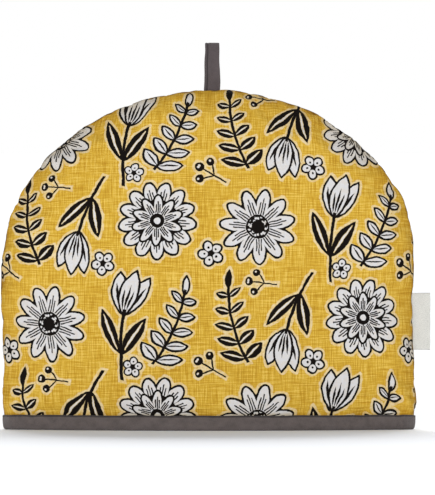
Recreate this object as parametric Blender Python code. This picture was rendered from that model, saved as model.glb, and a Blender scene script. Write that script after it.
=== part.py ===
"""A padded cloth tea cosy with a bound hem, a hanging loop and a bare side label, standing on its hem."""

import math
from collections import namedtuple

import bmesh
import bpy
from mathutils import Vector

MM = 0.001

# The whole cosy, standing open on its hem
WIDTH = 340 * MM
HEIGHT = 279 * MM
DEPTH = 104 * MM
ARCH_START = 0.487 * HEIGHT
ARCH_LEAN = 1.3 * MM
DEPTH_TAPER = 0.26

# The padded wall and the seam round the arch
EDGE_ROUND = 10 * MM
WALL = 8.5 * MM
HEM_WALL = 4 * MM
HEM_TUCK = 2.2 * MM
HEM_EASE = (13 * MM, 22 * MM)
SEAM_DIP = 2.4 * MM
SEAM_DIP_REACH = 4 * MM
SEAM_BEYOND = 1.8 * MM
SEAM_TOP = HEIGHT + SEAM_BEYOND
CLEARANCE = 0.3 * MM

# The binding round the hem
TAPE = 1.2 * MM
BINDING_HEIGHT = 12.4 * MM
BINDING_CREASE = 0.6 * MM
BINDING_BELLY = 0.2 * MM
HEM_EDGE = TAPE + CLEARANCE

# The hanging loop, a folded tape caught in the top seam
LOOP_WIDTH = 12.6 * MM
LOOP_TALL = 40 * MM
LOOP_TAPE = 1.6 * MM
LOOP_HALF_GAP = 4.2 * MM
LOOP_OFF_CENTRE = 1.6 * MM
LOOP_WIDEST = 0.55
CAUGHT_IN_SEAM = 4 * MM

# The bare label, a folded tape caught in the right side seam
LABEL_PROUD = 15 * MM
LABEL_LOW = 65.6 * MM
LABEL_TALL = 47 * MM
LABEL_THICK = 1 * MM
LABEL_CURL = 1.5 * MM

# How many strips each mesh is cut into
COLUMNS = 36
HEM_ROWS = 2
LOWER_ROWS = 11
ARCH_ROWS = 14
LOOP_STEPS = 14
ROW_CROWDING = 1.6

LEFT, RIGHT, BOTH = -1, 1, 0
FRONT, BACK = -1, 1

# Where the outline swells (+) or draws in (-) beside its straight sides
SideSwell = namedtuple("SideSwell", "side height spread amount")
SIDE_SWELLS = (
    SideSwell(BOTH, 0 * MM, 12 * MM, -1.3 * MM),
    SideSwell(LEFT, 56 * MM, 20 * MM, -0.7 * MM),
    SideSwell(LEFT, 115 * MM, 28 * MM, 1.8 * MM),
    SideSwell(RIGHT, 98 * MM, 40 * MM, -2.4 * MM),
)

# Where a face of the cosy stands proud (+) or is dented (-), as the wadding settles
SWELL_FADE = 0.3
Swell = namedtuple("Swell", "face x z spread_x spread_z amount")
FACE_SWELLS = (
    Swell(FRONT, -95 * MM, 70 * MM, 60 * MM, 45 * MM, 2.4 * MM),
    Swell(FRONT, 100 * MM, 90 * MM, 50 * MM, 55 * MM, 1.8 * MM),
    Swell(FRONT, 5 * MM, 40 * MM, 34 * MM, 30 * MM, -1.8 * MM),
    Swell(FRONT, -40 * MM, 190 * MM, 60 * MM, 30 * MM, 1.6 * MM),
    Swell(FRONT, 62 * MM, 178 * MM, 30 * MM, 42 * MM, -1.4 * MM),
    Swell(BACK, -60 * MM, 110 * MM, 55 * MM, 60 * MM, 2.2 * MM),
    Swell(BACK, 70 * MM, 50 * MM, 60 * MM, 34 * MM, 1.8 * MM),
    Swell(BACK, 30 * MM, 165 * MM, 40 * MM, 40 * MM, -1.8 * MM),
)

# The label makes the cosy reach further on its right, so the cosy's middle stands left of the origin
MIDDLE_X = -5.2 * MM

CLOTH_COLOUR = (0.62, 0.38, 0.06, 1)
BINDING_COLOUR = (0.115, 0.098, 0.094, 1)
LABEL_COLOUR = (0.66, 0.64, 0.58, 1)


def ease(value, start, end):
    """0 below start, 1 above end, and smooth between them."""
    share = min(max((value - start) / (end - start), 0), 1)
    return share * share * (3 - 2 * share)


def side_reach(height, side):
    """How far the side seam lies from the middle, before the stitches draw it in."""
    reach = WIDTH / 2 + SEAM_BEYOND
    for swell in SIDE_SWELLS:
        if swell.side in (BOTH, side):
            reach += swell.amount * math.exp(-(((height - swell.height) / swell.spread) ** 2))
    return reach


def face_swell(face, x, z):
    """How far the padding stands proud of the plain curve at a place on one face."""
    proud = 0
    for swell in FACE_SWELLS:
        if swell.face == face:
            apart = ((x - swell.x) / swell.spread_x) ** 2 + ((z - swell.z) / swell.spread_z) ** 2
            proud += swell.amount * math.exp(-apart)
    return proud


def face_point(face, across, rise, low, under):
    """(x, depth, z) on one face, `under` below its outer cloth, with depth counted from the seam.

    `across` goes from -1 at the left seam to 1 at the right one. `rise` is 0 at the straight
    sides, where `low` is the height, and goes to 1 along the top of the arch.
    """
    p = math.sin(across * math.pi / 2)
    q = math.sin(rise * math.pi / 2)
    a = p * math.sqrt(1 - q * q / 2)
    b = q * math.sqrt(1 - p * p / 2)
    squared = max((1 - p * p) * (1 - q * q), 0)
    z = low + (SEAM_TOP - under - ARCH_START) * b
    x = (side_reach(z, LEFT if a < 0 else RIGHT) - under) * a + ARCH_LEAN * ease(b, 0, 1)
    from_seam = (1 - math.sqrt(1 - squared)) * WIDTH / 2
    bend = EDGE_ROUND - under
    depth = bend * math.sqrt(1 - (1 - min(from_seam / bend, 1)) ** 2)
    depth += (DEPTH / 2 - EDGE_ROUND) * (1 - DEPTH_TAPER * z / HEIGHT) * squared
    depth += face_swell(face, x, z) * ease(squared, 0, SWELL_FADE) * ease(z, *HEM_EASE)
    return x, depth, z


def outer_under(z):
    """The outer cloth is full above the hem and tucked in where the binding holds it."""
    return HEM_TUCK * (1 - ease(z, *HEM_EASE))


def inner_under(z):
    """The wadding thins where the binding holds it."""
    at_hem = HEM_TUCK + HEM_WALL
    return at_hem + (WALL - at_hem) * ease(z, *HEM_EASE)


def row_height(row):
    """The height of a row of the straight sides. The first rows lie inside the binding."""
    above_tape = BINDING_HEIGHT + CLEARANCE
    if row < HEM_ROWS:
        return HEM_EDGE + (above_tape - HEM_EDGE) * row / HEM_ROWS
    share = min((row - HEM_ROWS) / (LOWER_ROWS - HEM_ROWS), 1)
    return above_tape + (ARCH_START - above_tape) * share**ROW_CROWDING


def panel_point(face, column, row, inner):
    """One corner of a panel's mesh, on its outer cloth or on its inner face."""
    across = 2 * column / COLUMNS - 1
    rise = max(row - LOWER_ROWS, 0) / ARCH_ROWS
    low = row_height(row)
    if inner:
        x, depth, z = face_point(face, across, rise, low, inner_under(low))
    else:
        under = outer_under(low)
        _, depth, z = face_point(face, across, rise, low, under)
        dip = SEAM_DIP * math.exp(-((depth / SEAM_DIP_REACH) ** 2)) * ease(z, *HEM_EASE)
        x, depth, z = face_point(face, across, rise, low, under + dip)
    return Vector((x, face * (CLEARANCE / 2 + depth), z))


def new_object(name, bm, colour, roughness, parent):
    """An object of this mesh under the cosy's middle, with a plain material."""
    bmesh.ops.recalc_face_normals(bm, faces=bm.faces)
    if bm.calc_volume(signed=True) < 0:
        bmesh.ops.reverse_faces(bm, faces=bm.faces)
    mesh = bpy.data.meshes.new(name)
    bm.to_mesh(mesh)
    bm.free()
    obj = bpy.data.objects.new(name, mesh)
    bpy.context.scene.collection.objects.link(obj)
    obj.parent = parent
    material = bpy.data.materials.new(name)
    material.use_nodes = True
    shader = material.node_tree.nodes["Principled BSDF"]
    shader.inputs["Base Color"].default_value = colour
    shader.inputs["Roughness"].default_value = roughness
    shader.inputs["Metallic"].default_value = 0
    mesh.materials.append(material)
    mesh.shade_smooth()
    mesh.set_sharp_from_angle(angle=math.radians(40))
    return obj


def grid(columns, rows):
    """A flat grid whose points carry their column and row as x and y."""
    bm = bmesh.new()
    bmesh.ops.create_grid(bm, x_segments=columns, y_segments=rows, size=0.5)
    bmesh.ops.translate(bm, verts=bm.verts, vec=(0.5, 0.5, 0))
    bmesh.ops.scale(bm, verts=bm.verts, vec=(columns, rows, 1))
    return bm


def slab(columns, rows):
    """A closed slab, one grid over another, whose second face is at z = 1."""
    bm = grid(columns, rows)
    raised = bmesh.ops.extrude_face_region(bm, geom=bm.faces[:], use_keep_orig=True)["geom"]
    corners = [part for part in raised if isinstance(part, bmesh.types.BMVert)]
    bmesh.ops.translate(bm, verts=corners, vec=(0, 0, 1))
    return bm


def shape(bm, place):
    """Moves each point to where `place` puts its column, row and layer."""
    for vert in bm.verts:
        vert.co = place(round(vert.co.x), round(vert.co.y), round(vert.co.z))


def make_panel(name, face, parent):
    bm = slab(COLUMNS, LOWER_ROWS + ARCH_ROWS)
    shape(bm, lambda column, row, layer: panel_point(face, column, row, layer == 1))
    return new_object(name, bm, CLOTH_COLOUR, 0.9, parent)


def binding_profile():
    """The folded tape's section, as (under the outer cloth, height), once round."""
    outer = HEM_TUCK - CLEARANCE - TAPE
    slot_outer = HEM_TUCK - CLEARANCE
    slot_inner = HEM_TUCK + HEM_WALL + CLEARANCE
    inner = slot_inner + TAPE
    crease = BINDING_CREASE
    return (
        (outer, BINDING_HEIGHT),
        (outer - BINDING_BELLY, BINDING_HEIGHT / 2),
        (outer, 2 * crease),
        (outer + crease, 0),
        (inner - crease, 0),
        (inner, 2 * crease),
        (inner, BINDING_HEIGHT / 2),
        (inner, BINDING_HEIGHT),
        (slot_inner, BINDING_HEIGHT),
        (slot_inner, TAPE),
        (slot_outer, TAPE),
        (slot_outer, BINDING_HEIGHT),
    )


def make_binding(parent):
    profile = binding_profile()
    bm = grid(2 * COLUMNS, len(profile))

    def place(station, corner, _layer):
        under, height = profile[corner % len(profile)]
        face = FRONT if station < COLUMNS else BACK
        turn = station if face == FRONT else 2 * COLUMNS - station
        x, depth, z = face_point(face, 2 * turn / COLUMNS - 1, 0, height, under)
        if turn in (0, COLUMNS):
            return Vector((x, 0, z))
        return Vector((x, face * (CLEARANCE / 2 + depth), z))

    shape(bm, place)
    bmesh.ops.remove_doubles(bm, verts=bm.verts, dist=0.01 * MM)
    return new_object("hem_binding", bm, BINDING_COLOUR, 0.85, parent)


def loop_path(step):
    """The tape's middle at one of the steps from an end, in the seam, up to the fold."""
    seam = SEAM_TOP - SEAM_DIP
    fold = HEIGHT + LOOP_TALL - LOOP_TAPE / 2
    widest = seam + LOOP_WIDEST * (fold - seam)
    closed = (CLEARANCE + LOOP_TAPE) / 2
    opened = LOOP_HALF_GAP + LOOP_TAPE / 2
    if step <= 1:
        return Vector((0, closed, seam - CAUGHT_IN_SEAM * (1 - step)))
    half = (LOOP_STEPS + 1) / 2
    if step < half:
        share = (step - 1) / (half - 1)
        return Vector((0, closed + (opened - closed) * ease(share, 0, 1), seam + (widest - seam) * share))
    turn = (step - half) / (LOOP_STEPS - half) * math.pi / 2
    return Vector((0, opened * math.cos(turn), widest + (fold - widest) * math.sin(turn)))


def make_loop(parent):
    steps = 2 * LOOP_STEPS
    bm = slab(steps, 1)

    def middle(step):
        point = loop_path(min(step, steps - step))
        return point if step > LOOP_STEPS else Vector((0, -point.y, point.z))

    def place(step, edge, layer):
        along = middle(min(step + 0.5, steps)) - middle(max(step - 0.5, 0))
        out = Vector((0, -along.z, along.y)).normalized()
        across = Vector((LOOP_OFF_CENTRE + (edge - 0.5) * LOOP_WIDTH, 0, 0))
        return middle(step) + across + out * LOOP_TAPE * (0.5 - layer)

    shape(bm, place)
    return new_object("hanging_loop", bm, BINDING_COLOUR, 0.85, parent)


def label_reach():
    """The x of the seam beside the label, and of the label's inner and outer edge."""
    seam = side_reach(LABEL_LOW + LABEL_TALL / 2, RIGHT) - SEAM_DIP
    return seam, seam - CAUGHT_IN_SEAM, seam + SEAM_DIP - SEAM_BEYOND + LABEL_PROUD


def make_label(parent):
    columns, rows = 6, 4
    bm = slab(columns, rows)
    seam, inner, outer = label_reach()

    def place(column, row, layer):
        x = inner + (outer - inner) * column / columns
        z = LABEL_LOW + LABEL_TALL * row / rows
        free = max(x - seam, 0) / (outer - seam)
        bow = LABEL_CURL * free * free * (1 - 0.5 * row / rows)
        return Vector((x, bow + LABEL_THICK * (0.5 - layer), z))

    shape(bm, place)
    return new_object("side_label", bm, LABEL_COLOUR, 0.8, parent)


def make_slot(name, low, high, panels, parent):
    """Cuts the same box out of each panel, where something is caught in the seam."""
    bm = bmesh.new()
    bmesh.ops.create_cube(bm, size=1)
    bmesh.ops.scale(bm, verts=bm.verts, vec=high - low)
    bmesh.ops.translate(bm, verts=bm.verts, vec=(low + high) / 2)
    cutter = new_object(name, bm, LABEL_COLOUR, 1, parent)
    cutter.hide_render = True
    cutter.display_type = "WIRE"
    for panel in panels:
        cut = panel.modifiers.new(name, "BOOLEAN")
        cut.operation = "DIFFERENCE"
        cut.solver = "EXACT"
        cut.object = cutter


def make_slots(panels, parent):
    deep = LOOP_TAPE + 1.5 * CLEARANCE
    wide = LOOP_WIDTH / 2 + CLEARANCE
    foot = SEAM_TOP - SEAM_DIP - CAUGHT_IN_SEAM - CLEARANCE
    make_slot(
        "loop_slot",
        Vector((LOOP_OFF_CENTRE - wide, -deep, foot)),
        Vector((LOOP_OFF_CENTRE + wide, deep, HEIGHT + EDGE_ROUND)),
        panels,
        parent,
    )
    deep = LABEL_THICK / 2 + CLEARANCE
    _, inner, outer = label_reach()
    make_slot(
        "label_slot",
        Vector((inner - CLEARANCE, -deep, LABEL_LOW - CLEARANCE)),
        Vector((outer, deep, LABEL_LOW + LABEL_TALL + CLEARANCE)),
        panels,
        parent,
    )


def main():
    for obj in list(bpy.data.objects):
        bpy.data.objects.remove(obj, do_unlink=True)
    middle = bpy.data.objects.new("cosy_middle", None)
    middle.location.x = MIDDLE_X
    bpy.context.scene.collection.objects.link(middle)
    panels = [make_panel("front_panel", FRONT, middle), make_panel("back_panel", BACK, middle)]
    make_binding(middle)
    make_loop(middle)
    make_label(middle)
    make_slots(panels, middle)


main()
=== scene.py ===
"""The looks of a padded cloth tea cosy: printed panels, binding, loop, label and a plain studio."""

import math
from collections import namedtuple

import bmesh
import bpy
import numpy as np
from bpy.props import FloatProperty, FloatVectorProperty, IntProperty, PointerProperty
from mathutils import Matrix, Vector


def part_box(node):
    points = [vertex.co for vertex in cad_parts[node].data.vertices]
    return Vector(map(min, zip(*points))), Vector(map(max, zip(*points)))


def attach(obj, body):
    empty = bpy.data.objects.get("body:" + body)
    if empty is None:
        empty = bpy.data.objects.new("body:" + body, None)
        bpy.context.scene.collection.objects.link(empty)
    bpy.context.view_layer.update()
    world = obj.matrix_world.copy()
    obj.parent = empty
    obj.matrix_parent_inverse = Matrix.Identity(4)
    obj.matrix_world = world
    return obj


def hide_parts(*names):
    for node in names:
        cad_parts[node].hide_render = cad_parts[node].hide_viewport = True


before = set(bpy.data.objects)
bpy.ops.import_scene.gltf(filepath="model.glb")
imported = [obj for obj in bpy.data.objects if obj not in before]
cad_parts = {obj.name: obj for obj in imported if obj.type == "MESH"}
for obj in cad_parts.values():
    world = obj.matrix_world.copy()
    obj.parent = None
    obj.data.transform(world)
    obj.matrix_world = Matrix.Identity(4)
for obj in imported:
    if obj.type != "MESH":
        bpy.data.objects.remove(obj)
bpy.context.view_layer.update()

bl_info = {
    "name": "Tea Cosy",
    "version": (1, 0, 0),
    "blender": (4, 5, 0),
    "location": "View3D > Sidebar > Cosy",
    "description": "Builds a padded, printed tea cosy on its packed frame",
    "category": "Add Mesh",
}

MM = 0.001
LEFT, RIGHT, BOTH = -1, 1, 0
FRONT, BACK = -1, 1
OUTER, INNER = 0, 1

# Where the solids of the frame lie
HEM_LOW, HEM_HIGH = (Vector(corner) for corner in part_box("hem_binding"))
PANEL_HIGH = Vector(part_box("front_panel")[1])
LOOP_LOW, LOOP_HIGH = (Vector(corner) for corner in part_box("hanging_loop"))
LABEL_LOW, LABEL_HIGH = (Vector(corner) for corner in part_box("side_label"))
MIDDLE_X = (HEM_LOW.x + HEM_HIGH.x) / 2
BINDING_HEIGHT = HEM_HIGH.z

# The cosy's own sizes, as its solids have them. Their padding rises a little above the height
WIDTH = 340 * MM
HEIGHT = PANEL_HIGH.z - 0.1 * MM
DEPTH = 104 * MM
EDGE_ROUND = 10 * MM
WALL = 8.5 * MM

# Where the arch starts, how far it leans to the right, and how much thinner the cosy is at its top
ARCH_START = 0.487 * HEIGHT
ARCH_LEAN = 1.3 * MM
DEPTH_TAPER = 0.26

# How the panels thin out and step back, between these heights, to fit into the binding
HEM_WALL = 4 * MM
HEM_TUCK = 2.2 * MM
HEM_EASE = (13 * MM, 22 * MM)

# The seam lies in a narrow dip, beyond the plain width and height
SEAM_DIP = 2.4 * MM
SEAM_DIP_REACH = 4 * MM
SEAM_BEYOND = 1.8 * MM
SEAM_TOP = HEIGHT + SEAM_BEYOND

# Room between two pieces that touch, and the thickness of the binding's tape
CLEARANCE = 0.3 * MM
TAPE = 1.2 * MM
HEM_EDGE = TAPE + CLEARANCE

# Where a side stands out, or in where the amount is negative
SideSwell = namedtuple("SideSwell", "side height spread amount")
SIDE_SWELLS = (
    SideSwell(BOTH, 0 * MM, 12 * MM, -1.3 * MM),
    SideSwell(LEFT, 56 * MM, 20 * MM, -0.7 * MM),
    SideSwell(LEFT, 115 * MM, 28 * MM, 1.8 * MM),
    SideSwell(RIGHT, 98 * MM, 40 * MM, -2.4 * MM),
)

# Towards the seam the swells of a face fade away over this share of the way
SWELL_FADE = 0.3
# Where the padding of a face stands out, or in where the amount is negative
Swell = namedtuple("Swell", "face x z spread_x spread_z amount")
FACE_SWELLS = (
    Swell(FRONT, -95 * MM, 70 * MM, 60 * MM, 45 * MM, 2.4 * MM),
    Swell(FRONT, 100 * MM, 90 * MM, 50 * MM, 55 * MM, 1.8 * MM),
    Swell(FRONT, 5 * MM, 40 * MM, 34 * MM, 30 * MM, -1.8 * MM),
    Swell(FRONT, -40 * MM, 190 * MM, 60 * MM, 30 * MM, 1.6 * MM),
    Swell(FRONT, 62 * MM, 178 * MM, 30 * MM, 42 * MM, -1.4 * MM),
    Swell(BACK, -60 * MM, 110 * MM, 55 * MM, 60 * MM, 2.2 * MM),
    Swell(BACK, 70 * MM, 50 * MM, 60 * MM, 34 * MM, 1.8 * MM),
    Swell(BACK, 30 * MM, 165 * MM, 40 * MM, 40 * MM, -1.8 * MM),
)


def length_setting(name, description, default):
    return FloatProperty(name=name, description=description, default=default, unit="LENGTH")


def colour_setting(name, description, default):
    return FloatVectorProperty(name=name, description=description, default=default, subtype="COLOR")


class CosySizes(bpy.types.PropertyGroup):
    """Sizes of the finish, which a user may change."""

    pucker: length_setting("Seam pucker", "How deep the cloth gathers beside the seam", 0.55 * MM)
    pucker_pitch: length_setting("Pucker pitch", "Distance from one gather to the next", 11 * MM)
    growth: FloatProperty(
        name="Cloth to spare", description="How much larger the printed cloth is cut than its wadding",
        default=0.012, subtype="FACTOR",
    )
    most_move: length_setting("Most movement", "How far the simulation may move the cloth", 3 * MM)
    sim_frames: IntProperty(
        name="Simulation frames", description="How many frames the cloth settles for", default=20,
    )
    tile_width: length_setting("Print width", "Width of one repeat of the print", 172 * MM)
    tile_height: length_setting("Print height", "Height of one repeat of the print", 160 * MM)


class CosyColours(bpy.types.PropertyGroup):
    """Colours of the cloth, the print and the tapes."""

    ground: colour_setting("Ground", "The printed cloth's ground", (0.645, 0.392, 0.039))
    slub_light: colour_setting("Light slubs", "The palest threads of the ground", (0.80, 0.545, 0.105))
    slub_dark: colour_setting("Dark slubs", "The deepest threads of the ground", (0.50, 0.268, 0.022))
    ink: colour_setting("Ink", "The print's line colour", (0.006, 0.004, 0.003))
    petal: colour_setting("Petals", "The print's pale filling", (0.69, 0.685, 0.70))
    halo: colour_setting("Halo", "The pale edge round each printed motif", (0.80, 0.66, 0.40))
    lining: colour_setting("Inner cloth", "The plain cloth inside", (0.50, 0.46, 0.38))
    binding: colour_setting("Binding", "The tape round the hem", (0.089, 0.075, 0.072))
    loop: colour_setting("Loop", "The tape of the hanging loop", (0.079, 0.065, 0.067))
    label: colour_setting("Label", "The label's woven tape", (0.665, 0.67, 0.632))


def ease(value, start, end):
    """0 below start, 1 above end, and smooth between them."""
    share = np.clip((value - start) / (end - start), 0, 1)
    return share * share * (3 - 2 * share)


def bell(value, reach):
    """1 where the value is 0, falling smoothly to nearly 0 at twice the reach."""
    return np.exp(-((value / reach) ** 2))


def side_reach(height, right):
    """How far the side seam lies from the middle, before the stitches draw it in."""
    reach = WIDTH / 2 + SEAM_BEYOND + 0 * height
    for swell in SIDE_SWELLS:
        here = 1 if swell.side == BOTH else np.where(right, swell.side == RIGHT, swell.side == LEFT)
        reach = reach + here * swell.amount * bell(height - swell.height, swell.spread)
    return reach


def face_swell(face, x, z):
    """How far the padding stands proud of the plain curve."""
    proud = 0 * x
    for swell in FACE_SWELLS:
        if swell.face == face:
            apart = ((x - swell.x) / swell.spread_x) ** 2 + ((z - swell.z) / swell.spread_z) ** 2
            proud = proud + swell.amount * np.exp(-apart)
    return proud


def half_disc(across, rise):
    """A grid's rectangle laid over half a disc: x, y, and 1 at its middle falling to 0 at its edge."""
    side = np.sin(across * math.pi / 2)
    up = np.sin(rise * math.pi / 2)
    inside = np.maximum((1 - side * side) * (1 - up * up), 0)
    return side * np.sqrt(1 - up * up / 2), up * np.sqrt(1 - side * side / 2), inside


def face_points(face, across, rise, low, under):
    """(x, depth, z) arrays on one face, `under` below its outer cloth, as the solids have them."""
    disc_x, disc_y, inside = half_disc(across, rise)
    z = low + (SEAM_TOP - under - ARCH_START) * disc_y
    x = (side_reach(z, disc_x >= 0) - under) * disc_x + ARCH_LEAN * ease(disc_y, 0, 1)
    from_seam = (1 - np.sqrt(1 - inside)) * WIDTH / 2
    bend = EDGE_ROUND - under
    depth = bend * np.sqrt(1 - (1 - np.minimum(from_seam / bend, 1)) ** 2)
    depth = depth + (DEPTH / 2 - EDGE_ROUND) * (1 - DEPTH_TAPER * z / HEIGHT) * inside
    depth = depth + face_swell(face, x, z) * ease(inside, 0, SWELL_FADE) * ease(z, *HEM_EASE)
    return x, depth, z


def flat_places(across, rise, low):
    """Where each point lies on the cloth as it was cut, from the middle of the hem."""
    steps = np.linspace(0, 1, 400)
    depth = (DEPTH / 2 - EDGE_ROUND) * (1 - steps * steps)
    close = np.minimum((1 - steps) * WIDTH / 2 / EDGE_ROUND, 1)
    depth = depth + EDGE_ROUND * np.sqrt(1 - (1 - close) ** 2)
    run = np.hypot(np.diff(steps) * WIDTH / 2, np.diff(depth))
    along = np.concatenate([[0], np.cumsum(run)])
    disc_x, disc_y, _ = half_disc(across, rise)
    out = np.clip(np.hypot(disc_x, disc_y), 1e-6, 1)
    stretch = np.interp(out, steps, along) / (out * WIDTH / 2)
    return disc_x * stretch * WIDTH / 2, low + disc_y * stretch * (SEAM_TOP - ARCH_START)


class Num:
    """A number in a material, so that a pattern's Math nodes read as a formula."""

    def __init__(self, paint, socket):
        self.paint = paint
        self.socket = socket

    def math(self, operation, *others):
        return self.paint.math(operation, self, *others)

    def __add__(self, other):
        return self.math("ADD", other)

    __radd__ = __add__

    def __sub__(self, other):
        return self.math("SUBTRACT", other)

    def __rsub__(self, other):
        return self.paint.math("SUBTRACT", other, self)

    def __mul__(self, other):
        return self.math("MULTIPLY", other)

    __rmul__ = __mul__

    def __truediv__(self, other):
        return self.math("DIVIDE", other)

    def __abs__(self):
        return self.math("ABSOLUTE")

    def __or__(self, other):
        """The union of two shapes, given by their signed distances."""
        return self.math("MINIMUM", other)

    def __and__(self, other):
        """What two shapes share."""
        return self.math("MAXIMUM", other)


class Paint:
    """A procedural material and short ways to add the nodes that cloth and tape need."""

    def __init__(self, name, slot):
        self.material = bpy.data.materials.new(name)
        self.material["slot"] = slot
        self.material.use_nodes = True
        self.tree = self.material.node_tree
        self.shader = self.tree.nodes["Principled BSDF"]

    def feed(self, socket, value):
        """Links a node's output to the socket, or sets the socket to a plain value."""
        value = getattr(value, "socket", value)
        if isinstance(value, bpy.types.NodeSocket):
            self.tree.links.new(value, socket)
        else:
            socket.default_value = value

    def node(self, kind, inputs=(), **settings):
        made = self.tree.nodes.new("ShaderNode" + kind)
        for name, value in settings.items():
            setattr(made, name, value)
        for name, value in dict(inputs).items():
            self.feed(made.inputs[name], value)
        return made

    def math(self, operation, *values):
        made = self.node("Math", dict(enumerate(values)), operation=operation)
        return Num(self, made.outputs[0])

    def length(self, vector):
        return Num(self, self.node("VectorMath", {0: vector}, operation="LENGTH").outputs["Value"])

    def scaled(self, vector, x, y, plus=(0, 0, 0)):
        """The vector with its parts multiplied, and another one added."""
        inputs = {0: vector, 1: (x, y, 0), 2: plus}
        return self.node("VectorMath", inputs, operation="MULTIPLY_ADD").outputs[0]

    def parts(self, vector):
        split = self.node("SeparateXYZ", {0: vector})
        return Num(self, split.outputs["X"]), Num(self, split.outputs["Y"])

    def joined(self, x, y):
        return self.node("CombineXYZ", {0: x, 1: y}).outputs[0]

    def moved(self, vector, place=(0, 0), degrees=0, size=(1, 1)):
        """The vector seen from a spot that is moved, turned and sized like this."""
        inputs = {
            "Vector": vector, "Location": (*place, 0),
            "Rotation": (0, 0, math.radians(degrees)), "Scale": (*size, 1),
        }
        return self.node("Mapping", inputs, vector_type="TEXTURE").outputs[0]

    def uv(self, name):
        return self.node("UVMap", uv_map=name).outputs["UV"]

    def noise(self, vector, scale, detail=2, roughness=0.5, output="Fac"):
        inputs = {"Vector": vector, "Scale": scale, "Detail": detail, "Roughness": roughness}
        return Num(self, self.node("TexNoise", inputs).outputs[output])

    def ramp(self, value, low, high, smooth=True):
        """0 where the value is at low and 1 at high."""
        made = self.node(
            "MapRange",
            {"Value": value, "From Min": low, "From Max": high},
            interpolation_type="SMOOTHSTEP" if smooth else "LINEAR",
        )
        return Num(self, made.outputs[0])

    def mix(self, share, below, above, blend="MIX"):
        """Two colours mixed: all `below` where the share is 0, and all `above` where it is 1."""
        made = self.node("Mix", data_type="RGBA", blend_type=blend)
        self.feed(made.inputs[0], share)
        for socket, colour in ((made.inputs[6], below), (made.inputs[7], above)):
            linked = isinstance(colour, bpy.types.NodeSocket)
            self.feed(socket, colour if linked else (*colour, 1))
        return made.outputs[2]

    def surface(self, colour, roughness, specular, height, deep, strength):
        """Sets the colour, the shine and the raised weave, `deep` metres at a height of 1."""
        bump = self.node("Bump", {"Height": height, "Distance": deep, "Strength": strength})
        inputs = self.shader.inputs
        self.feed(inputs["Base Color"], colour)
        inputs["Roughness"].default_value = roughness
        inputs["Specular IOR Level"].default_value = specular
        self.feed(inputs["Normal"], bump.outputs["Normal"])
        return self.material


# Sizes in the print are in mm of flat cloth. This is half the width of a drawn line
LINE = 0.86


def ellipse(paint, vector, centre, radii):
    """The signed distance in mm to an ellipse."""
    seen = paint.moved(vector, centre)
    near = paint.length(paint.scaled(seen, 1 / radii[0], 1 / radii[1]))
    steep = paint.length(paint.scaled(seen, radii[0] ** -2, radii[1] ** -2))
    return near * (near - 1) / steep


def leaf(paint, vector, centre, half_long, half_wide, degrees=0):
    """The signed distance in mm to a pointed leaf whose length lies along y."""
    seen = paint.moved(vector, centre, degrees)
    x, y = paint.parts(seen)
    bend = (half_long**2 + half_wide**2) / (2 * half_wide)
    blade = paint.length(paint.joined(abs(x) + (bend - half_wide), y)) - bend
    return blade & (paint.length(seen) - half_long)


def dot(paint, vector, centre, radius):
    """The signed distance in mm to a round dot."""
    return paint.length(paint.moved(vector, centre)) - radius


def rounds(paint, vector, count, turned=0.0):
    """The distance from the middle, and the place folded into half of one of so many equal slices."""
    x, y = paint.parts(vector)
    out = paint.length(vector)
    turn = (y.math("ARCTAN2", x) + turned).math("PINGPONG", math.pi / count)
    return out, out * turn.math("COSINE"), out * turn.math("SINE")


def ring(paint, vector, petals, inner, outer, turned, plump=1.08):
    """One ring of petals with veins: (pale filling, ink line)."""
    out, px, py = rounds(paint, vector, petals, turned)
    middle = (outer + inner) / 2
    broad = middle * math.sin(math.pi / petals) * plump
    folded = paint.joined(px, py)
    long = outer - inner
    petal = ellipse(paint, folded, (middle, 0), (long / 2, broad))
    vein = (abs(py - broad * 0.36) - 0.52) & (abs(px - middle + long * 0.12) - long * 0.2)
    spine = (py - 0.5) & (abs(px - middle + long * 0.08) - long * 0.3)
    return petal, (abs(petal) - LINE) | vein | spine


def daisy(paint, vector, petals, radius, eye):
    """Petals on a dark ground round a dotted eye: (pale filling, ink line)."""
    petal, line = ring(paint, vector, petals, eye * 0.6, radius, 0.0)
    out = paint.length(vector)
    dark = (out - radius * 0.74) & (0.2 - petal)
    dots = paint.node("TexVoronoi", {"Vector": vector, "Scale": 0.36}, voronoi_dimensions="2D")
    disc = (out - eye) & (0.95 - Num(paint, dots.outputs["Distance"]) / 0.36)
    return petal | (out - eye), (line & (eye - out)) | dark | disc | (abs(out - eye) - 0.8)


def rosette(paint, vector, petals, radius, eye):
    """Two rings of petals, the inner ones over the outer: (pale filling, ink line)."""
    middle = radius * 0.66
    far, far_line = ring(paint, vector, petals, middle * 0.6, radius, math.pi / petals)
    near, near_line = ring(paint, vector, petals - 3, eye * 0.6, middle, 0.0)
    out = paint.length(vector)
    dark = (out - middle * 0.84) & (0.2 - near)
    line = ((far_line & (0.2 - near)) | near_line | dark) & (eye - out)
    return far | near | (out - eye), line | ((out - eye) & (eye * 0.45 - out))


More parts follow.
